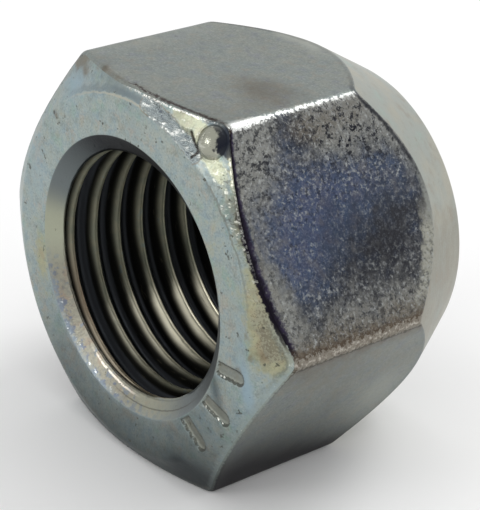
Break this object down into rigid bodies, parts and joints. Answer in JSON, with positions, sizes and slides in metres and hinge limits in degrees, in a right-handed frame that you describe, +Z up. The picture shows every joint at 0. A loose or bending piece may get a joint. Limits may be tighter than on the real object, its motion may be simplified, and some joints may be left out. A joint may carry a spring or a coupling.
{
  "type": "lug nut",
  "caption": "Open-ended hexagon lug nut with a chamfered flat outer face, a conical wheel seat and a fine thread right through.",
  "frame": {"origin": "on the thread axis, at the middle of the nut's length, which is also the middle of its box", "axes": "+Y along the thread axis towards the conical wheel seat, -Y the way the flat outer face looks, +Z up, square to the hexagon flat it lies on, +X across two corners"},
  "size_m": [0.0194, 0.013, 0.017],
  "materials": {
    "zinc_plated_steel": "zinc plated and chromate passivated, satin, handled"
  },
  "bodies": {
    "root": {"nut_body": "zinc_plated_steel"}
  },
  "joints": []
}
